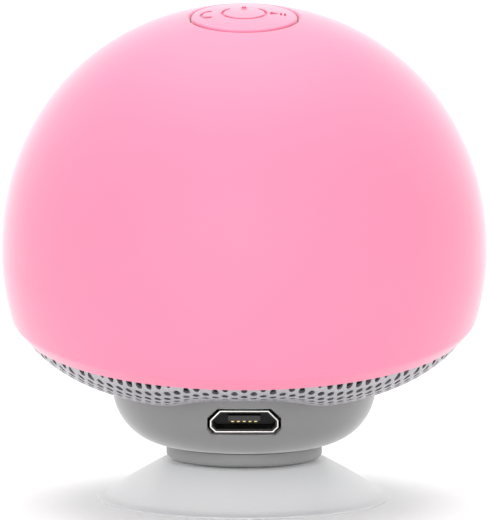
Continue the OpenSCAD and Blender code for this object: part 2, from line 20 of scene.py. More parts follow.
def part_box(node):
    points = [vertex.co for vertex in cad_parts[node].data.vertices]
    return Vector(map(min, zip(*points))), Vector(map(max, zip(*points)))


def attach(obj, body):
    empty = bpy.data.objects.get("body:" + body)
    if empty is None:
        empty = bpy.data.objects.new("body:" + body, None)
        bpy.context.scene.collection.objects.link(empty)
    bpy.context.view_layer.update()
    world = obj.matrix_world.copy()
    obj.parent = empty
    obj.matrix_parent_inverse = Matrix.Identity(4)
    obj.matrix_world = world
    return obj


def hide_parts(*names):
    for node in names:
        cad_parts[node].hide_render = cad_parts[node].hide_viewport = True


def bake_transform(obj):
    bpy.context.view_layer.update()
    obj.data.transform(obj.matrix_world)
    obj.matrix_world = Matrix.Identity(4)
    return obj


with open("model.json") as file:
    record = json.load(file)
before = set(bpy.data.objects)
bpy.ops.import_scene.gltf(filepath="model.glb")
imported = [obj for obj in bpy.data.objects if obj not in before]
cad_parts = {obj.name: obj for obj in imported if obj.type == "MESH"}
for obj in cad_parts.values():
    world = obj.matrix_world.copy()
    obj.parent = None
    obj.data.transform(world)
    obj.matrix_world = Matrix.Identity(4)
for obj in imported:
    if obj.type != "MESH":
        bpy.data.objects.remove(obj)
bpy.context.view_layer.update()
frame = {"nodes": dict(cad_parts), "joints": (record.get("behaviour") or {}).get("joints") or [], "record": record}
MM = 0.001

# %% [markdown]
# The head leans forward over its foot. The CAD model says by how much: the key is pressed along
# the head's axis, so its joint's direction gives the lean. The dome is part of a sphere, so its
# box gives the radius and the centre. Pieces of the head are modelled upright round the dome's
# centre, and then leaned and moved in one step.

# %% Measure the head and the foot
key_joint = next(j for j in frame["joints"] if j["name"] == "key_press")
press_axis = Vector(key_joint["axis"])
LEAN = math.atan2(press_axis.y, -press_axis.z)
cap_low, cap_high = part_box("silicone_cap")
HEAD_R = (cap_high.x - cap_low.x) / 2
HEAD_CENTRE = Vector((0, (cap_low.y + cap_high.y) / 2, cap_high.z - HEAD_R))
HEAD_PLACE = Matrix.Translation(HEAD_CENTRE) @ Matrix.Rotation(LEAN, 4, "X")
cup_low, cup_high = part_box("suction_cup")
CUP_R = (cup_high.x - cup_low.x) / 2
collar_low, collar_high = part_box("collar")
COLLAR_R = (collar_high.x - collar_low.x) / 2
bowl_low, bowl_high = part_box("base_bowl")
BOWL_R = (bowl_high.x - bowl_low.x) / 2
shell_low, shell_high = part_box("usb_shell")
print(f"lean {math.degrees(LEAN):.1f} degrees, dome radius {HEAD_R / MM:.2f} mm")
print(f"cup radius {CUP_R / MM:.2f} mm, bowl radius {BOWL_R / MM:.2f} mm")

# %% [markdown]
# ## Helpers
#
# Blender's operators act on whatever is selected, so each step starts from a clean selection.
# These few helpers keep the later cells short: they choose an object, run steps in edit mode,
# apply modifiers, and turn an outline round an axis as a potter or a lathe does.


# %% Selection and modifiers
def only(obj):
    """Makes obj the one selected and active object."""
    bpy.ops.object.select_all(action="DESELECT")
    obj.select_set(True)
    bpy.context.view_layer.objects.active = obj
    return obj


def bake_place(obj):
    """Puts the object's place into its mesh, so that the object sits at the origin."""
    only(obj)
    bpy.ops.object.transform_apply(location=True, rotation=True, scale=True)
    return obj


def add_modifier(obj, kind, **settings):
    """Adds a modifier, sets it and applies it."""
    only(obj)
    modifier = obj.modifiers.new(kind.lower(), kind)
    for key, value in settings.items():
        setattr(modifier, key, value)
    bpy.ops.object.modifier_apply(modifier=modifier.name)
    return obj


def pick(obj, kind, test):
    """Selects the vertices, edges or faces of a mesh that a test accepts, and no others."""
    bpy.ops.object.mode_set(mode="OBJECT")
    for group in (obj.data.vertices, obj.data.edges, obj.data.polygons):
        group.foreach_set("select", [False] * len(group))
    chosen = getattr(obj.data, kind)
    chosen.foreach_set("select", [bool(test(item)) for item in chosen])
    bpy.ops.object.mode_set(mode="EDIT")
    mode = {"vertices": "VERT", "edges": "EDGE", "polygons": "FACE"}[kind]
    bpy.ops.mesh.select_mode(type=mode)


def smooth(obj, angle=30):
    """Shades a piece smooth, apart from edges sharper than an angle in degrees."""
    only(obj)
    bpy.ops.object.shade_smooth_by_angle(angle=math.radians(angle))


def report(obj):
    """Prints a piece's size in millimetres and its number of faces."""
    size = obj.dimensions / MM
    faces = len(obj.data.polygons)
    print(f"{obj.name}: {size.x:.2f} x {size.y:.2f} x {size.z:.2f} mm, {faces} faces")


# %% [markdown]
# Most of this object is turned: each piece is the same all the way round. So two helpers do
# most of the modelling. One gives points on an arc, the other extrudes a vertex along an
# outline and spins the line round the axis, which is quicker and rounder than joining rings.


# %% Outlines
def arc(centre, radius, start, end, steps):
    """Points on an arc in the (distance, height) plane. Angles are in degrees from the axis +r."""
    turns = [math.radians(start + (end - start) * i / steps) for i in range(steps + 1)]
    return [(centre[0] + radius * math.cos(t), centre[1] + radius * math.sin(t)) for t in turns]


def lathe(name, outline, steps=128, closed=True):
    """Spins an outline of (distance from the axis, height) points into a solid of revolution."""
    bpy.ops.object.select_all(action="DESELECT")
    bpy.ops.mesh.primitive_plane_add(size=MM)
    obj = bpy.context.object
    obj.name = name
    bpy.ops.object.mode_set(mode="EDIT")
    bpy.ops.mesh.select_mode(type="VERT")
    bpy.ops.mesh.select_all(action="SELECT")
    bpy.ops.mesh.merge(type="CENTER")
    here = Vector((outline[0][0], 0, outline[0][1]))
    bpy.ops.transform.translate(value=here)
    for r, z in outline[1:]:
        step = Vector((r, 0, z)) - here
        bpy.ops.mesh.extrude_vertices_move(TRANSFORM_OT_translate={"value": step})
        here = Vector((r, 0, z))
    if closed:
        step = Vector((outline[0][0], 0, outline[0][1])) - here
        bpy.ops.mesh.extrude_vertices_move(TRANSFORM_OT_translate={"value": step})
    bpy.ops.mesh.select_all(action="SELECT")
    bpy.ops.mesh.spin(
        steps=steps, angle=2 * math.pi, center=(0, 0, 0), axis=(0, 0, 1), use_auto_merge=False
    )
    bpy.ops.mesh.select_all(action="SELECT")
    bpy.ops.mesh.remove_doubles(threshold=1e-6)
    bpy.ops.mesh.normals_make_consistent(inside=False)
    bpy.ops.object.mode_set(mode="OBJECT")
    return obj


def to_head(obj):
    """Leans an upright piece modelled round the dome's centre and moves it into place."""
    obj.matrix_world = HEAD_PLACE
    return bake_place(obj)


# %% [markdown]
# ## The silicone skin
#
# The skin is a soft shell, 1.5 mm thick, stretched over a hard dome. It is a little flatter on
# top than a ball, so its outline follows a superellipse above the equator and a circle below
# it. Near its lower edge it rolls in to a thin lip that grips the grille, and the round hole on
# top has soft edges. A lathe outline is the natural way to make it, because one closed outline
# holds the outer face, the rolled edge, the lip and the inner face.

# %% Turn the skin
SKIN_T = 1.5 * MM
LIP_T = 0.27 * MM
LIP_H = 0.84 * MM
ROLL_ANGLE = math.radians(16.5)
ROLL_R = 1.6 * MM
RIM_SLOPE = math.radians(39.8)
RIM_DEPTH = 9.46 * MM
CROWN_POWER = 2.06
CROWN_SQUEEZE = 0.9985
KEY_HOLE_R = 6.2 * MM
EDGE_R = 0.25 * MM


def crown_height(r, drop=0.0):
    """Height of the crown's surface over the dome's centre, at a distance from the axis."""
    radius = (HEAD_R - drop) * CROWN_SQUEEZE
    return radius * (1 - (r / radius) ** CROWN_POWER) ** (1 / CROWN_POWER)


def crown_points(r_from, r_to, steps, drop=0.0):
    """Points along the crown, evenly spaced in angle."""
    radius = (HEAD_R - drop) * CROWN_SQUEEZE
    a, b = (math.asin(r / radius) for r in (r_from, r_to))
    turns = [a + (b - a) * i / steps for i in range(steps + 1)]
    return [(radius * math.sin(t), crown_height(radius * math.sin(t), drop)) for t in turns]


roll_at = (
    (HEAD_R - ROLL_R) * math.cos(ROLL_ANGLE), -(HEAD_R - ROLL_R) * math.sin(ROLL_ANGLE)
)
roll_end = (
    roll_at[0] + ROLL_R * math.cos(RIM_SLOPE), roll_at[1] - ROLL_R * math.sin(RIM_SLOPE)
)
rim_z = -RIM_DEPTH
rim_r = roll_end[0] - (roll_end[1] - rim_z) * math.tan(RIM_SLOPE)
lip_r = rim_r - LIP_T
inner_r = HEAD_R - SKIN_T
hole_top = crown_height(KEY_HOLE_R + EDGE_R)
outline = arc((KEY_HOLE_R + EDGE_R, hole_top - EDGE_R), EDGE_R, 180, 95, 5)
outline += crown_points(KEY_HOLE_R + 1.6 * EDGE_R, HEAD_R * 0.9984, 34)
outline += arc((0, 0), HEAD_R, -1.5, -math.degrees(ROLL_ANGLE) + 0.7, 12)
outline += arc(roll_at, ROLL_R, -math.degrees(ROLL_ANGLE), -math.degrees(RIM_SLOPE), 8)
straight = 0.5 * MM
outline += [(rim_r + straight, rim_z + straight / math.tan(RIM_SLOPE))]
outline += arc((rim_r - 0.06 * MM, rim_z + 0.09 * MM), 0.09 * MM, -35, -100, 4)
outline += [(lip_r, rim_z + 0.08 * MM), (lip_r, rim_z + LIP_H)]
inner_from, inner_to = -19.3, 76
outline += arc((0, 0), inner_r, inner_from, inner_to, 26)
outline += [(KEY_HOLE_R, crown_height(KEY_HOLE_R, SKIN_T))]
skin = lathe("silicone_skin", outline, steps=192)
smooth(to_head(skin), 40)
report(skin)

# %% [markdown]
# ## The key
#
# The round key sits in the hole with a fine gap round it, and its top continues the crown. Three
# symbols are sunk into it: a handset, the power ring with its bar, and play with pause. Sunk
# symbols are made as a tool would make them: small solid cutters are shaped, and a boolean
# takes them out of the key.

# %% Turn the key
KEY_R = 5.95 * MM
KEY_DEEP = 1.3 * MM
key_edge = crown_height(KEY_R - EDGE_R)
outline = [(0, crown_height(0))]
outline += crown_points(0.3 * MM, KEY_R - 1.6 * EDGE_R, 22)
outline += arc((KEY_R - EDGE_R, key_edge - EDGE_R), EDGE_R, 80, 0, 5)
outline += [(KEY_R, key_edge - KEY_DEEP), (0, key_edge - KEY_DEEP)]
key = lathe("power_key", outline, steps=96, closed=False)
report(key)

# %% [markdown]
# Each cutter starts as a flat primitive, is shaped in edit mode, and is pulled up into a solid.
# The power ring is a circle that is widened into a band, and its back part is removed.


# %% Shape the symbol cutters
CUT_DEPTH = 0.28 * MM
STROKE = 0.36 * MM


def stand_up(obj, floor_z):
    """Pulls a flat cutter up from its floor, through the key's top."""
    only(obj)
    bpy.ops.object.mode_set(mode="EDIT")
    bpy.ops.mesh.select_all(action="SELECT")
    bpy.ops.transform.translate(value=(0, 0, floor_z))
    bpy.ops.mesh.extrude_region_move(TRANSFORM_OT_translate={"value": (0, 0, 3 * MM)})
    bpy.ops.mesh.select_all(action="SELECT")
    bpy.ops.mesh.normals_make_consistent(inside=False)
    bpy.ops.object.mode_set(mode="OBJECT")
    return bake_place(obj)


def ring_cutter(name, centre, radius, width, keep):
    """An open ring: a circle is widened to a band, and the faces that keep refuses are removed."""
    bpy.ops.object.select_all(action="DESELECT")
    bpy.ops.mesh.primitive_circle_add(vertices=72, radius=radius - width / 2)
    obj = bpy.context.object
    obj.name = name
    bpy.ops.object.mode_set(mode="EDIT")
    bpy.ops.mesh.select_all(action="SELECT")
    bpy.ops.mesh.extrude_edges_move()
    grow = (radius + width / 2) / (radius - width / 2)
    bpy.ops.transform.resize(value=(grow, grow, 1), center_override=(0, 0, 0))
    pick(obj, "polygons", lambda face: not keep(face.center))
    bpy.ops.mesh.delete(type="FACE")
    bpy.ops.mesh.select_all(action="SELECT")
    bpy.ops.transform.translate(value=(centre[0], centre[1], 0))
    bpy.ops.object.mode_set(mode="OBJECT")
    return obj


def bar_cutter(name, centre, size):
    """A small rectangle with rounded corners."""
    bpy.ops.object.select_all(action="DESELECT")
    bpy.ops.mesh.primitive_plane_add(size=1)
    obj = bpy.context.object
    obj.name = name
    bpy.ops.object.mode_set(mode="EDIT")
    bpy.ops.transform.resize(value=(size[0], size[1], 1), center_override=(0, 0, 0))
    bpy.ops.mesh.bevel(offset=min(size) * 0.2, segments=2, affect="VERTICES")
    bpy.ops.transform.translate(value=(centre[0], centre[1], 0))
    bpy.ops.object.mode_set(mode="OBJECT")
    return obj


def triangle_cutter(name, centre, radius):
    """A triangle that points along +X."""
    bpy.ops.object.select_all(action="DESELECT")
    bpy.ops.mesh.primitive_circle_add(vertices=3, radius=radius, fill_type="NGON")
    obj = bpy.context.object
    obj.name = name
    obj.rotation_euler = (0, 0, -math.pi / 2)
    obj.location = (centre[0], centre[1], 0)
    bake_place(obj)
    return obj


RING_R = 2.46 * MM
RING_GAP = math.radians(42)
HANDSET_X = -3.1 * MM
EAR_X = -4.0 * MM
EAR_Y = 1.25 * MM
EAR_SIZE = (0.75 * MM, 0.62 * MM)
BAR_Y = 1.9 * MM
PAUSE_SIZE = (0.22 * MM, 1.05 * MM)
PLAY_Y = 0.15 * MM
open_ring = ring_cutter(
    "power_ring", (0, 0), RING_R, STROKE, lambda c: abs(math.atan2(c.x, c.y)) > RING_GAP
)
symbols = [
    (open_ring, RING_R),
    (bar_cutter("power_bar", (0, BAR_Y), (0.52 * MM, 2.1 * MM)), BAR_Y),
    (
        ring_cutter(
            "handset_grip", (HANDSET_X, 0), 1.75 * MM, 0.36 * MM,
            lambda c: c.x < 0 and abs(c.y) < 1.35 * MM,
        ),
        4.6 * MM,
    ),
    (bar_cutter("handset_ear", (EAR_X, EAR_Y), EAR_SIZE), 4.2 * MM),
    (bar_cutter("handset_mouth", (EAR_X, -EAR_Y), EAR_SIZE), 4.2 * MM),
    (triangle_cutter("play", (3.3 * MM, PLAY_Y), 0.72 * MM), 3.3 * MM),
    (bar_cutter("pause_a", (4.15 * MM, PLAY_Y), PAUSE_SIZE), 4.2 * MM),
    (bar_cutter("pause_b", (4.6 * MM, PLAY_Y), PAUSE_SIZE), 4.6 * MM),
]
print("symbols:", [cutter.name for cutter, reach in symbols])

# %% [markdown]
# The crown is curved, so each cutter stands on a floor of its own: the crown's height where the
# symbol is, less the depth of the cut. The symbols are then equally deep everywhere.

# %% Sink the symbols into the key
for cutter, reach in symbols:
    stand_up(cutter, crown_height(reach) - CUT_DEPTH)
    add_modifier(key, "BOOLEAN", operation="DIFFERENCE", object=cutter, solver="EXACT")
    bpy.data.objects.remove(cutter)
smooth(to_head(key), 35)
report(key)

# %% [markdown]
# ## The perforated dish
#
# The grille is a flat sheet, punched with a close hexagonal pattern of holes and then pressed
# into a dish. It is made here in the same order. One hexagonal cell with a round hole is
# modelled once, array modifiers repeat it into a flat sheet, everything outside the dish's
# ring is cut off, and a shrinkwrap presses the sheet onto a die. The sheet gets its thickness
# last, so the holes keep straight walls.

# %% One punched cell
PITCH = 1.24 * MM
HOLE_R = 0.38 * MM
CHAMFER = 0.07 * MM
HOLE_SIDES = 12
cell_r = PITCH / math.sqrt(3)
bpy.ops.object.select_all(action="DESELECT")
bpy.ops.mesh.primitive_circle_add(vertices=HOLE_SIDES, radius=HOLE_R)
sheet = bpy.context.object
sheet.name = "dish_grille"
hole_edge = sheet.vertex_groups.new(name="hole_edge")
bpy.ops.object.mode_set(mode="EDIT")
bpy.ops.mesh.select_all(action="SELECT")
for r_from, r_to in ((HOLE_R, HOLE_R + CHAMFER), (HOLE_R + CHAMFER, cell_r)):
    bpy.ops.mesh.extrude_edges_move()
    grow = r_to / r_from
    bpy.ops.transform.resize(value=(grow, grow, 1), center_override=(0, 0, 0))
bpy.ops.object.mode_set(mode="OBJECT")


# %% [markdown]
# The outer ring of the cell has twelve points. Every second one is pulled in onto the straight
# line between its neighbours, and the ring becomes a hexagon that tiles without gaps. The
# points round the hole go into a vertex group, because they are pressed in a little later.


# %% Flatten the cell's outer ring to a hexagon
def between_corners(v):
    """True for an outer point halfway between two corners of the hexagon."""
    turn = math.degrees(math.atan2(v.co.x, v.co.y)) % 60
    return v.co.length > cell_r * 0.9 and min(turn, 60 - turn) < 5


inset = math.cos(math.radians(30))
pick(sheet, "vertices", between_corners)
bpy.ops.transform.resize(value=(inset, inset, 1), center_override=(0, 0, 0))
bpy.ops.object.mode_set(mode="OBJECT")
inner_ring = [v.index for v in sheet.data.vertices if v.co.xy.length < HOLE_R + CHAMFER * 0.5]
hole_edge.add(inner_ring, 1.0, "REPLACE")
print("cell:", len(sheet.data.polygons), "faces, hole diameter", 2 * HOLE_R / MM, "mm")

# %% [markdown]
# A second cell half a step across and half a step up makes the staggered pair, and two arrays
# repeat the pair in both directions. Arrays keep the order of the points, so the next step can
# still tell which points belong to one cell.

# %% Repeat the cell into a flat sheet
DISH_OUT_R = 24.84 * MM
DISH_IN_R = 13.5 * MM
rows = 2 * math.ceil(DISH_OUT_R / PITCH) + 1
columns = 2 * math.ceil(DISH_OUT_R / (PITCH * math.sqrt(3))) + 1
cell_faces = len(sheet.data.polygons)
cell_points = len(sheet.data.vertices)


def repeat(obj, count, offset):
    """An applied array modifier."""
    return add_modifier(
        obj, "ARRAY", count=count, use_relative_offset=False, use_constant_offset=True,
        constant_offset_displace=offset,
    )


repeat(sheet, 2, (PITCH * math.sqrt(3) / 2, PITCH / 2, 0))
repeat(sheet, rows, (0, PITCH, 0))
repeat(sheet, columns, (PITCH * math.sqrt(3), 0, 0))
shift_x = (columns // 2) * PITCH * math.sqrt(3)
shift_y = (rows // 2) * PITCH
only(sheet)
sheet.location = (-shift_x, -shift_y, 0)
bake_place(sheet)
print("flat sheet:", len(sheet.data.polygons) // cell_faces, "cells")

# %% [markdown]
# A press shears the sheet to a ring. Cells that reach into the middle or lie wholly outside are
# removed, the seams between the rest are welded, and many straight cuts trim the outer edge
# round. They go through the holes at the edge, as shears do.

# %% Trim the sheet to the dish's ring
points = np.empty(len(sheet.data.vertices) * 3)
sheet.data.vertices.foreach_get("co", points)
cells = points.reshape(-1, cell_points, 3)
reach = np.hypot(cells[:, :, 0], cells[:, :, 1])
keep_cell = (reach.min(axis=1) > DISH_IN_R) & (reach.min(axis=1) < DISH_OUT_R)
drop_face = np.repeat(~keep_cell, cell_faces)
pick(sheet, "polygons", lambda face: drop_face[face.index])
bpy.ops.mesh.delete(type="FACE")
bpy.ops.mesh.select_mode(type="VERT")
bpy.ops.mesh.select_all(action="SELECT")
bpy.ops.mesh.remove_doubles(threshold=PITCH / 200)
SHEAR_CUTS = 72
for cut in range(SHEAR_CUTS):
    turn = 2 * math.pi * cut / SHEAR_CUTS
    outward = (math.cos(turn), math.sin(turn), 0)
    bpy.ops.mesh.select_all(action="SELECT")
    bpy.ops.mesh.bisect(
        plane_co=[DISH_OUT_R * part for part in outward], plane_no=outward, clear_outer=True,
        threshold=1e-7,
    )
bpy.ops.mesh.select_all(action="SELECT")
bpy.ops.mesh.remove_doubles(threshold=PITCH / 200)
bpy.ops.mesh.dissolve_degenerate(threshold=PITCH / 200)
bpy.ops.object.mode_set(mode="OBJECT")
print("ring:", int(keep_cell.sum()), "cells,", len(sheet.data.polygons), "faces")

# %% [markdown]
# The die has the dish's outer shape: a shallow cone that rolls up into a large round shoulder,
# whose last part turns in behind the skin's lip. In front, over the socket, the sheet has a wide
# shallow dent that makes room for the plug. The acoustic cloth behind the sheet is pressed
# along with it, so both are made with the same dent.

# %% Turn the die and press its dent
SHEET_T = 0.45 * MM
SHOULDER_R = 13 * MM
SHOULDER_SLOPE = math.radians(52.6)
DISH_SLOPE = math.radians(4)
TUCK_FROM = math.radians(47)
TUCK_R = 2 * MM
DENT_X = 7.2 * MM
DENT_Y = 4.5 * MM
DENT_AT = -18.5 * MM
DENT_DEEP = 1.5 * MM
arc_r = rim_r - SHOULDER_R * math.sin(SHOULDER_SLOPE)
arc_z = rim_z + SHOULDER_R * math.cos(SHOULDER_SLOPE)


def dish_outline(depth, slope_from, slope_to, steps):
    """Points on the shoulder between two slopes, at a depth inside the dish's outer face."""
    start, end = math.degrees(slope_from) - 90, math.degrees(slope_to) - 90
    return arc((arc_r, arc_z), SHOULDER_R - depth, start, end, steps)


def press_dent(obj):
    """Presses the dent over the socket up into a piece."""
    for v in obj.data.vertices:
        across = (v.co.x / DENT_X) ** 4
        along = ((v.co.y - DENT_AT) / DENT_Y) ** 2
        if v.co.y < 0:
            v.co.z += DENT_DEEP * math.exp(-across - along)


shoulder = dish_outline(0, DISH_SLOPE, TUCK_FROM, 40)
turn_in = SHOULDER_R - TUCK_R
tuck_at = (arc_r + turn_in * math.sin(TUCK_FROM), arc_z - turn_in * math.cos(TUCK_FROM))
shoulder += arc(tuck_at, TUCK_R, math.degrees(TUCK_FROM) - 89, -3, 14)
cone_r, cone_z = shoulder[0]
cone = [
    (r * MM, cone_z - (cone_r - r * MM) * math.tan(DISH_SLOPE)) for r in np.linspace(12, 15.6, 5)
]
die = lathe("die", cone + shoulder, steps=256, closed=False)
press_dent(die)
report(die)

# %% [markdown]
# The acoustic cloth keeps water and dust out of the driver, and shows as dark grey in the
# holes. It is a thin shell a little inside the sheet, turned from the same arc and pressed with
# the same dent, so it can't show through the metal anywhere.

# %% Press the cloth
CLOTH_T = 0.22 * MM
CLOTH_GAP = 0.08 * MM
CLOTH_END = math.radians(38)
cloth_in = SHEET_T + CLOTH_GAP
cloth_far = dish_outline(cloth_in + CLOTH_T, DISH_SLOPE, CLOTH_END, 24)
cloth_near = dish_outline(cloth_in, CLOTH_END, DISH_SLOPE, 24)
cloth = lathe("dish_cloth", cloth_near + cloth_far, steps=160)
press_dent(cloth)
smooth(to_head(cloth), 40)
report(cloth)

# %% [markdown]
# The flat sheet is projected straight up and down onto the die, as a press does it, so the holes
# on the shoulder stretch in the same way. The points round each hole are moved inwards a
# little, which gives the punched edge its soft rim, and solidify adds the metal's thickness.

# %% Press the sheet on the die and give it its thickness
HOLE_SINK = 0.05 * MM
add_modifier(
    sheet, "SHRINKWRAP", target=die, wrap_method="PROJECT", use_project_x=False,
    use_project_y=False, use_project_z=True, use_negative_direction=True,
    use_positive_direction=True,
)
bpy.data.objects.remove(die)
only(sheet)
bpy.ops.object.mode_set(mode="EDIT")
bpy.ops.mesh.select_all(action="SELECT")
bpy.ops.mesh.normals_make_consistent(inside=False)
bpy.ops.object.mode_set(mode="OBJECT")
facing_up = sum(face.normal.z for face in sheet.data.polygons) > 0
if facing_up:
    bpy.ops.object.mode_set(mode="EDIT")
    bpy.ops.mesh.flip_normals()
    bpy.ops.object.mode_set(mode="OBJECT")
add_modifier(
    sheet, "DISPLACE", vertex_group="hole_edge", direction="NORMAL", strength=-HOLE_SINK,
    mid_level=0.0,
)
add_modifier(sheet, "SOLIDIFY", thickness=SHEET_T, offset=-1)
smooth(to_head(sheet), 50)
report(sheet)

# %% [markdown]
# ## The bowl
#
# The bowl is a moulded plastic cup with a generously rounded underside. It is turned on the
# lathe with its wall, a little taller than it needs to be, because the head it carries leans
# and its top has to be cut to that lean.

# %% Turn the bowl
BOWL_ROUND = 6.57 * MM
BOWL_WALL = 1.5 * MM
STUD_HOLE_R = 3.2 * MM
round_r = BOWL_R - BOWL_ROUND
round_z = bowl_low.z + BOWL_ROUND
top_z = bowl_high.z + 1 * MM
outline = [(STUD_HOLE_R, bowl_low.z)]
outline += arc((round_r, round_z), BOWL_ROUND, -90, 0, 24)
outline += [(BOWL_R, round_z + step * MM) for step in (1, 2, 3)]
outline += [(BOWL_R, top_z), (BOWL_R - BOWL_WALL, top_z)]
outline += arc((round_r, round_z), BOWL_ROUND - BOWL_WALL, 0, -90, 12)
outline += [(STUD_HOLE_R, bowl_low.z + BOWL_WALL)]
bowl = lathe("bowl", outline, steps=144)
report(bowl)

# %% [markdown]
# One bisect cuts the top off on a plane that leans with the head, and fills the cut wall. The
# plane lies inside the dish, so the sheet hides the cut edge all round.

# %% Cut the bowl's top to the lean
NECK_DEPTH = 12.7 * MM
dish_normal = Matrix.Rotation(LEAN, 3, "X") @ Vector((0, 0, 1))
trim_point = HEAD_PLACE @ Vector((0, 0, -NECK_DEPTH))
only(bowl)
bpy.ops.object.mode_set(mode="EDIT")
bpy.ops.mesh.select_all(action="SELECT")
bpy.ops.mesh.bisect(
    plane_co=trim_point, plane_no=dish_normal, use_fill=True, clear_outer=True, threshold=1e-7
)
bpy.ops.object.mode_set(mode="OBJECT")
report(bowl)

# %% [markdown]
# The charging port has eight corners: two large chamfers above and two small ones below, a
# fraction wider than the socket. The same block shape is needed three times, for the hole, for
# the socket's shell and for its lining, so one helper makes it from an eight-sided circle whose
# points are moved to the corners. Here the block is the cutter.


# %% Cut the port
PORT_GAP = 0.3 * MM
port_x = shell_high.x + PORT_GAP
port_low, port_high = shell_low.z - PORT_GAP, shell_high.z + PORT_GAP


def port_block(name, grow, front_y, back_y, corner=1.15 * MM, foot=0.6 * MM):
    """A block with the port's outline: chamfered upper corners and smaller lower ones."""
    bpy.ops.object.select_all(action="DESELECT")
    bpy.ops.mesh.primitive_circle_add(vertices=8, radius=MM, fill_type="NGON")
    obj = bpy.context.object
    obj.name = name
    x, low, high = port_x + grow, port_low - grow, port_high + grow
    corners = [
        (x, high - corner), (x - corner, high), (corner - x, high), (-x, high - corner),
        (-x, low + foot), (foot - x, low), (x - foot, low), (x, low + foot),
    ]
    for v, (side, height) in zip(obj.data.vertices, corners):
        v.co = (side, front_y, height)
    bake_place(obj)
    bpy.ops.object.mode_set(mode="EDIT")
    bpy.ops.mesh.select_all(action="SELECT")
    bpy.ops.mesh.extrude_region_move(
        TRANSFORM_OT_translate={"value": (0, back_y - front_y, 0)}
    )
    bpy.ops.mesh.select_all(action="SELECT")
    bpy.ops.mesh.normals_make_consistent(inside=False)
    bpy.ops.object.mode_set(mode="OBJECT")
    return obj


cutter = port_block("port_cutter", 0, -BOWL_R - 1 * MM, -BOWL_R + 4 * MM)
add_modifier(bowl, "BOOLEAN", operation="DIFFERENCE", object=cutter, solver="EXACT")
bpy.data.objects.remove(cutter)
report(bowl)

# %% [markdown]
# A very small bevel on the port's outer edge catches the light as the moulded edge does. The
# edge is found by its place and by the sharp angle between the faces on its two sides.


# %% Soften the port's edge
def on_port_edge(edge):
    """True for a sharp edge of the port's outline on the bowl's outer face."""
    a, b = (bowl.data.vertices[i].co for i in edge.vertices)
    middle = (a + b) / 2
    slack = 0.02 * MM
    beside = abs(middle.x) < port_x + slack
    level = port_low - slack < middle.z < port_high + slack
    return beside and level and middle.y < -BOWL_R + 2.2 * MM and edge.index in sharp_edges


def find_sharp(obj, degrees):
    """Indices of the edges whose two faces meet at more than an angle."""
    faces_of = {}
    for face in obj.data.polygons:
        for pair in face.edge_keys:
            faces_of.setdefault(pair, []).append(face.normal)
    limit = math.cos(math.radians(degrees))
    return {
        e.index
        for e in obj.data.edges
        if len(faces_of.get(e.key, [])) == 2 and faces_of[e.key][0].dot(faces_of[e.key][1]) < limit
    }


sharp_edges = find_sharp(bowl, 50)
pick(bowl, "edges", on_port_edge)
bpy.ops.mesh.bevel(offset=0.12 * MM, segments=2, clamp_overlap=False)
bpy.ops.object.mode_set(mode="OBJECT")
smooth(bowl, 35)
report(bowl)

# %% [markdown]
# ## The collar
#
# The collar is a short plastic ring that the cup's stud turns in. Its lower edge is rounded
# and its upper edge has a fine break where it meets the bowl, which shows as a thin dark line.

# %% Turn the collar
COLLAR_ROUND = 0.5 * MM
outline = [(STUD_HOLE_R, collar_low.z), (COLLAR_R - COLLAR_ROUND, collar_low.z)]
outline += arc((COLLAR_R - COLLAR_ROUND, collar_low.z + COLLAR_ROUND), COLLAR_ROUND, -80, 0, 8)
outline += arc((COLLAR_R - 0.1 * MM, collar_high.z - 0.16 * MM), 0.1 * MM, 0, 90, 3)
outline += [(COLLAR_R - 0.3 * MM, collar_high.z), (STUD_HOLE_R, collar_high.z)]
collar = lathe("collar_ring", outline, steps=128)
smooth(collar, 35)
report(collar)

# %% [markdown]
# ## The suction cup
#
# The cup is one piece of clear silicone: a straight-sided cone that thins out to a feather
# lip, hollow underneath, with a pocket at its crown round the stud's flange. When the speaker
# is pressed down the crown moves with the stud and the lip stays on the surface; here the cup
# is modelled at rest.

# %% Turn the cup
LIP_T = 0.33 * MM
HOLLOW = 1.9 * MM
BULGE = 0.16 * MM
STUD_FIT_R = 3.15 * MM
SEAT = 0.05 * MM
seal_r = CUP_R - 1.45 * MM
cup_top_r = COLLAR_R + 0.5 * MM
hollow_ball = (seal_r ** 2 + HOLLOW ** 2) / (2 * HOLLOW)
stud_low, stud_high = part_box("cup_stud")
flange_r = (stud_high.x - stud_low.x) / 2 + SEAT
flange_low, flange_high = stud_low.z - SEAT, stud_low.z + 1 * MM + SEAT
outline = [(seal_r, 0.0), (CUP_R - 0.5 * MM, 0.0), (CUP_R - 0.1 * MM, 0.02 * MM)]
outline += arc((CUP_R - 0.12 * MM, 0.14 * MM), 0.12 * MM, -60, 80, 5)
slope_from = (CUP_R - 0.78 * MM, LIP_T + 0.03 * MM)
slope_to = (cup_top_r + 0.15 * MM, cup_high.z - 0.14 * MM)
for share in np.linspace(0, 1, 14):
    r = slope_from[0] + (slope_to[0] - slope_from[0]) * share
    z = slope_from[1] + (slope_to[1] - slope_from[1]) * share
    outline.append((r, z + BULGE * math.sin(math.pi * share)))
outline += [(cup_top_r - 0.15 * MM, cup_high.z), (STUD_FIT_R, cup_high.z)]
outline += [(STUD_FIT_R, flange_high), (flange_r, flange_high)]
outline += [(flange_r, flange_low), (0, flange_low)]
for share in np.linspace(0, 1, 16)[:-1]:
    r = seal_r * share
    outline.append((r, HOLLOW - hollow_ball + math.sqrt(hollow_ball ** 2 - r ** 2)))
cup = lathe("cup_skirt", outline, steps=160)
smooth(cup, 35)
report(cup)

# %% [markdown]
# ## The charging socket
#
# The socket's shell is a strip of bright steel folded into a tube. It starts as a block with
# the port's outline. Its front face is inset by the strip's thickness and the inner face is
# extruded backwards, which hollows the block, and a small bevel softens every sharp edge. The
# tongue and the contacts come from the CAD frame.

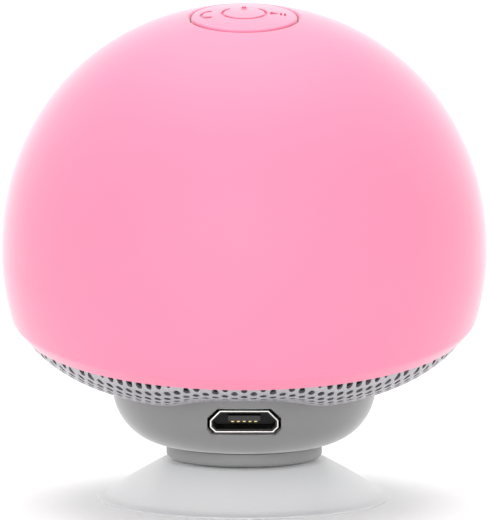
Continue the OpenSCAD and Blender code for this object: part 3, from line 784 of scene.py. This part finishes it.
# %% Fold the socket's shell
SHELL_WALL = 0.17 * MM
shell = port_block(
    "socket_shell", -PORT_GAP, shell_low.y, shell_high.y, corner=1.1 * MM, foot=0.6 * MM
)
pick(shell, "polygons", lambda face: face.normal.y < -0.9)
bpy.ops.mesh.inset(thickness=SHELL_WALL)
bpy.ops.mesh.extrude_region_move(
    TRANSFORM_OT_translate={"value": (0, shell_high.y - shell_low.y - SHELL_WALL, 0)}
)
bpy.ops.object.mode_set(mode="OBJECT")
add_modifier(shell, "BEVEL", width=0.04 * MM, segments=2, limit_method="ANGLE")
smooth(shell, 35)
report(shell)

# %% [markdown]
# A black sleeve lines the shell behind its bright mouth. It is painted shade: no such part is in
# the socket, and the sleeve stands for the shade deep inside it, so hardly any light comes back
# out of the socket. It is a second, smaller block, hollowed the same way.

# %% Line the socket with painted shade
SHADE_SLEEVE_BACK = 0.35 * MM
SHADE_SLEEVE_WALL = 0.14 * MM
shade_sleeve_gap = SHELL_WALL + 0.02 * MM
socket_shade_sleeve = port_block(
    "socket_liner", -PORT_GAP - shade_sleeve_gap, shell_low.y + SHADE_SLEEVE_BACK,
    shell_high.y - SHELL_WALL - 0.05 * MM, corner=0.95 * MM, foot=0.5 * MM,
)
pick(socket_shade_sleeve, "polygons", lambda face: face.normal.y < -0.9)
bpy.ops.mesh.inset(thickness=SHADE_SLEEVE_WALL)
bpy.ops.mesh.extrude_region_move(
    TRANSFORM_OT_translate={"value": (0, shell_high.y - shell_low.y - 0.95 * MM, 0)}
)
bpy.ops.object.mode_set(mode="OBJECT")
smooth(socket_shade_sleeve, 35)
report(socket_shade_sleeve)

# %% [markdown]
# ## Finishes
#
# A finish is more than a colour. Moulded parts have a fine grain and slightly uneven gloss,
# painted metal has an orange-peel surface, and the colour of rubber drifts a little. These
# effects are used by many materials, so each is a node group with its own inputs, placed in a
# material with that material's values.


# %% Build the node groups
def new_group(name, inputs, outputs):
    """A shader node group with named sockets, and its input and output nodes."""
    group = bpy.data.node_groups.new(name, "ShaderNodeTree")
    for label, kind, value in inputs:
        socket = group.interface.new_socket(label, in_out="INPUT", socket_type=kind)
        socket.default_value = value
    for label, kind in outputs:
        group.interface.new_socket(label, in_out="OUTPUT", socket_type=kind)
    return group, group.nodes.new("NodeGroupInput"), group.nodes.new("NodeGroupOutput")


def noise_node(tree, scale, detail=4.0, rough=0.55):
    """A noise texture that reads the place in the object."""
    place = tree.nodes.new("ShaderNodeTexCoord")
    node = tree.nodes.new("ShaderNodeTexNoise")
    node.inputs["Scale"].default_value = scale
    node.inputs["Detail"].default_value = detail
    node.inputs["Roughness"].default_value = rough
    tree.links.new(place.outputs["Object"], node.inputs["Vector"])
    return node


def build_grain():
    """Fine moulded grain: a bumped normal and a gloss that varies a little."""
    group, source, sink = new_group(
        "moulded_grain",
        [
            ("Scale", "NodeSocketFloat", 4000.0),
            ("Strength", "NodeSocketFloat", 0.15),
            ("Roughness", "NodeSocketFloat", 0.5),
            ("Variation", "NodeSocketFloat", 0.08),
        ],
        [("Normal", "NodeSocketVector"), ("Roughness", "NodeSocketFloat")],
    )
    fine = noise_node(group, 4000.0, 3.0)
    group.links.new(source.outputs["Scale"], fine.inputs["Scale"])
    bump = group.nodes.new("ShaderNodeBump")
    bump.inputs["Distance"].default_value = 0.00004
    group.links.new(source.outputs["Strength"], bump.inputs["Strength"])
    group.links.new(fine.outputs["Fac"], bump.inputs["Height"])
    group.links.new(bump.outputs["Normal"], sink.inputs["Normal"])
    broad = noise_node(group, 160.0, 5.0)
    spread = group.nodes.new("ShaderNodeMath")
    spread.operation = "SUBTRACT"
    spread.inputs[1].default_value = 0.5
    group.links.new(broad.outputs["Fac"], spread.inputs[0])
    scaled = group.nodes.new("ShaderNodeMath")
    scaled.operation = "MULTIPLY_ADD"
    group.links.new(spread.outputs[0], scaled.inputs[0])
    group.links.new(source.outputs["Variation"], scaled.inputs[1])
    group.links.new(source.outputs["Roughness"], scaled.inputs[2])
    group.links.new(scaled.outputs[0], sink.inputs["Roughness"])
    return group


def build_tint():
    """Slow, uneven colour: a base colour that drifts towards a second one."""
    group, source, sink = new_group(
        "uneven_colour",
        [
            ("Colour", "NodeSocketColor", (0.5, 0.5, 0.5, 1)),
            ("Second", "NodeSocketColor", (0.4, 0.4, 0.4, 1)),
            ("Scale", "NodeSocketFloat", 90.0),
            ("Amount", "NodeSocketFloat", 0.5),
        ],
        [("Colour", "NodeSocketColor")],
    )
    cloud = noise_node(group, 90.0, 5.0, 0.6)
    group.links.new(source.outputs["Scale"], cloud.inputs["Scale"])
    ramp = group.nodes.new("ShaderNodeMapRange")
    ramp.inputs["From Min"].default_value = 0.35
    ramp.inputs["From Max"].default_value = 0.7
    group.links.new(cloud.outputs["Fac"], ramp.inputs["Value"])
    share = group.nodes.new("ShaderNodeMath")
    share.operation = "MULTIPLY"
    group.links.new(ramp.outputs["Result"], share.inputs[0])
    group.links.new(source.outputs["Amount"], share.inputs[1])
    mix = group.nodes.new("ShaderNodeMix")
    mix.data_type = "RGBA"
    group.links.new(share.outputs[0], mix.inputs["Factor"])
    group.links.new(source.outputs["Colour"], mix.inputs[6])
    group.links.new(source.outputs["Second"], mix.inputs[7])
    group.links.new(mix.outputs[2], sink.inputs["Colour"])
    return group


GRAIN = build_grain()
TINT = build_tint()
print("node groups:", [g.name for g in (GRAIN, TINT)])


# %% [markdown]
# Every finish joins the same two groups to a Principled shader: one for the colour, one for the
# normal and the gloss. Values that don't vary, such as sheen, are set on the shader itself.


# %% One way to make a finish
def finish_material(
    name, colour, second=None, amount=0.4, patches=90.0, rough=0.5, vary=0.08,
    grain=4000.0, bump=0.15, metallic=0.0, **sockets
):
    """A Principled material with uneven colour and grain. Extra keywords set its sockets."""
    material = bpy.data.materials.new(name)
    material.use_nodes = True
    nodes, links = material.node_tree.nodes, material.node_tree.links
    shader = nodes["Principled BSDF"]
    tint = nodes.new("ShaderNodeGroup")
    tint.node_tree = TINT
    tint.inputs["Colour"].default_value = (*colour, 1)
    tint.inputs["Second"].default_value = (*(second or [c * 0.8 for c in colour]), 1)
    tint.inputs["Scale"].default_value = patches
    tint.inputs["Amount"].default_value = amount
    links.new(tint.outputs["Colour"], shader.inputs["Base Color"])
    surface = nodes.new("ShaderNodeGroup")
    surface.node_tree = GRAIN
    surface.inputs["Scale"].default_value = grain
    surface.inputs["Strength"].default_value = bump
    surface.inputs["Roughness"].default_value = rough
    surface.inputs["Variation"].default_value = vary
    links.new(surface.outputs["Normal"], shader.inputs["Normal"])
    links.new(surface.outputs["Roughness"], shader.inputs["Roughness"])
    shader.inputs["Metallic"].default_value = metallic
    for label, value in sockets.items():
        shader.inputs[label.replace("_", " ")].default_value = value
    return material


def wear(obj, material):
    """Gives an object one material for all its faces."""
    obj.data.materials.clear()
    obj.data.materials.append(material)

# %% [markdown]
# The silicone is matt and scatters light at grazing angles, so it looks paler towards its
# outline, and sheen does that. The grille is painted metal, the bowl and the collar are
# grey plastic with a faint film of their own sheen, and the cup is milky silicone with light
# spread inside it. The socket is bright steel, and the black lining inside it is painted shade
# that stands for the dark depth of the socket.

# %% Outside finishes
pink = finish_material(
    "silicone_skin", (0.78, 0.212, 0.342), second=(0.76, 0.198, 0.325), amount=0.5, patches=60.0,
    rough=0.55, grain=2600.0, bump=0.10, Sheen_Weight=0.8, Sheen_Roughness=0.35,
)
key_pink = finish_material(
    "key_silicone", (0.78, 0.22, 0.35), second=(0.76, 0.20, 0.33), amount=0.5, patches=60.0,
    rough=0.55, grain=2600.0, bump=0.10, Sheen_Weight=0.8, Sheen_Roughness=0.35,
)
grille_paint = finish_material(
    "grille_paint", (0.43, 0.425, 0.45), second=(0.37, 0.365, 0.39), rough=0.36, metallic=0.3,
    grain=1500.0, bump=0.25,
)
bowl_grey = finish_material(
    "bowl_plastic", (0.235, 0.236, 0.238), second=(0.215, 0.216, 0.218), rough=0.4, bump=0.12,
    Sheen_Weight=0.75, Sheen_Roughness=0.35,
)
collar_grey = finish_material(
    "collar_plastic", (0.26, 0.26, 0.26), second=(0.235, 0.235, 0.235), rough=0.5, bump=0.12,
    Sheen_Weight=0.4, Sheen_Roughness=0.4,
)
clear_silicone = finish_material(
    "cup_silicone", (0.97, 0.98, 0.995), second=(0.90, 0.93, 0.96), rough=0.3, patches=140.0,
    grain=900.0, bump=0.12, Transmission_Weight=0.1, IOR=1.41, Sheen_Weight=0.5,
    Subsurface_Weight=0.5, Subsurface_Radius=(0.004, 0.004, 0.004), Subsurface_Scale=1.0,
)
bright_steel = finish_material(
    "socket_steel", (0.66, 0.64, 0.62), second=(0.45, 0.43, 0.42), rough=0.25, metallic=1.0,
    grain=2500.0, bump=0.08,
)
cloth_black = finish_material(
    "acoustic_weave", (0.045, 0.045, 0.05), second=(0.16, 0.16, 0.17), amount=0.9, rough=0.85,
    patches=2600.0, grain=5200.0, bump=0.6,
)
# Painted shade: this black is not a part's own colour. It darkens the inside of the socket.
painted_shade_black = finish_material(
    "liner_plastic", (0.012, 0.012, 0.013), second=(0.02, 0.02, 0.02), rough=0.5, bump=0.1,
)
for piece, material in (
    (skin, pink), (key, key_pink), (sheet, grille_paint), (cloth, cloth_black),
    (bowl, bowl_grey), (collar, collar_grey), (cup, clear_silicone), (shell, bright_steel),
    (socket_shade_sleeve, painted_shade_black),
):
    wear(piece, material)

# %% [markdown]
# The parts inside are seen only when the speaker is taken apart, but each still gets a finish
# of its own from the record's list of slots. The record's colour is the start, and each class
# of material has its own gloss, grain and patchiness.

# %% Inside finishes
CLASS_LOOK = {
    "brushed_steel": dict(rough=0.34, metallic=1.0, grain=1800.0, bump=0.2),
    "chrome": dict(rough=0.2, metallic=1.0, grain=2500.0, bump=0.08),
    "brass": dict(rough=0.3, metallic=1.0, grain=2500.0, bump=0.12),
    "aluminium": dict(rough=0.38, metallic=1.0, grain=900.0, bump=0.35, patches=220.0),
    "painted_metal": dict(rough=0.45, metallic=0.2, grain=1500.0, bump=0.25),
    "matte_plastic": dict(rough=0.55, grain=3500.0, bump=0.15),
    "gloss_plastic": dict(rough=0.22, grain=2500.0, bump=0.05),
    "rubber": dict(rough=0.75, grain=2500.0, bump=0.3),
    "fabric": dict(rough=0.9, grain=2200.0, bump=0.8, amount=0.8, patches=900.0),
    "paper": dict(rough=0.85, grain=1600.0, bump=0.5, amount=0.7, patches=500.0),
    "ceramic": dict(rough=0.6, grain=1200.0, bump=0.4),
}
slot_of = {s["node"]: s["material_slot"] for s in frame["record"]["subparts"]}
made = {}
for entry in frame["record"]["materials"]:
    look = CLASS_LOOK[entry["class"]]
    made[entry["slot"]] = finish_material("in_" + entry["slot"], entry["base_color"][:3], **look)
for node, obj in frame["nodes"].items():
    material = made[slot_of[node]]
    if obj.data.materials:
        for index in range(len(obj.data.materials)):
            obj.data.materials[index] = material
    else:
        obj.data.materials.append(material)
print("finishes for the inside:", len(made))

# %% [markdown]
# ## Joining the frame
#
# Each new piece rides on the body that carries it, and the CAD node it stands for is hidden.
# The table also names the record's slot for each piece's finish, which nothing reads.

# %% Ride the bodies and hide the replaced nodes
for piece, body, node, slot_name in (
    (skin, "speaker", "silicone_cap", "silicone_skin"),
    (key, "key", "power_button", "key_silicone"),
    (sheet, "speaker", "grille", "grille_paint"),
    (cloth, "speaker", "acoustic_cloth", slot_of["acoustic_cloth"]),
    (bowl, "speaker", "base_bowl", "bowl_plastic"),
    (collar, "speaker", "collar", "collar_plastic"),
    (shell, "speaker", "usb_shell", "socket_steel"),
):
    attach(piece, body)
    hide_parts(node)
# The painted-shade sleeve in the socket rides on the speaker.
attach(socket_shade_sleeve, "speaker")
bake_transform(cup)
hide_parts("suction_cup")

# %% [markdown]
# ## Light, floor and camera
#
# The speaker stands on a plain white floor in a bright, even room of light. A large soft lamp
# above it lights the crown, one in front fills the face, and a small low one reaches the cup
# under the wide head.

# %% Floor and light
bpy.ops.object.select_all(action="DESELECT")
bpy.ops.mesh.primitive_plane_add(size=6)
floor = bpy.context.object
floor.name = "floor"
wear(floor, finish_material("floor_white", (0.97,) * 3, amount=0.05, rough=0.6, bump=0.0))
world = bpy.data.worlds.new("studio")
bpy.context.scene.world = world
world.use_nodes = True
world.node_tree.nodes["Background"].inputs["Color"].default_value = (1, 1, 1, 1)
world.node_tree.nodes["Background"].inputs["Strength"].default_value = 1.04


def softbox(name, place, aim, size, watts):
    """A square area lamp that faces a point."""
    lamp = bpy.data.lights.new(name, "AREA")
    lamp.size = size
    lamp.energy = watts
    obj = bpy.data.objects.new(name, lamp)
    bpy.context.scene.collection.objects.link(obj)
    obj.location = place
    obj.rotation_euler = (Vector(aim) - Vector(place)).to_track_quat("-Z", "Y").to_euler()
    return obj


softbox("top_lamp", (0, 0.1, 0.6), (0, 0, 0.03), 0.5, 2.1)
softbox("low_lamp", (0, -0.5, 0.1), (0, 0, 0.005), 0.3, 0.55)
softbox("front_lamp", (-0.25, -0.7, 0.35), (0, 0, 0.03), 0.4, 0.6)

# %% [markdown]
# The camera stands eight degrees above the horizon in front of the speaker. Its lens is so long
# that there is hardly any perspective, and the distance follows from the height of the frame.

# %% Camera
CAMERA_UP = math.radians(8)
LENS = 1000.0
SENSOR = 36.0
FRAME_H = 58.85 * MM
target = Vector((0.09 * MM, 0, 27.14 * MM))
distance = FRAME_H * LENS / SENSOR
camera_data = bpy.data.cameras.new("camera")
camera_data.lens = LENS
camera_data.sensor_width = SENSOR
camera_data.clip_start = 0.05
camera_data.clip_end = 20
camera = bpy.data.objects.new("camera", camera_data)
bpy.context.scene.collection.objects.link(camera)
back = Vector((0, -math.cos(CAMERA_UP), math.sin(CAMERA_UP)))
camera.location = target + back * distance
camera.rotation_euler = (-back).to_track_quat("-Z", "Y").to_euler()
bpy.context.scene.camera = camera
bpy.context.scene.view_settings.view_transform = "Standard"
print(f"camera {distance:.2f} m away")
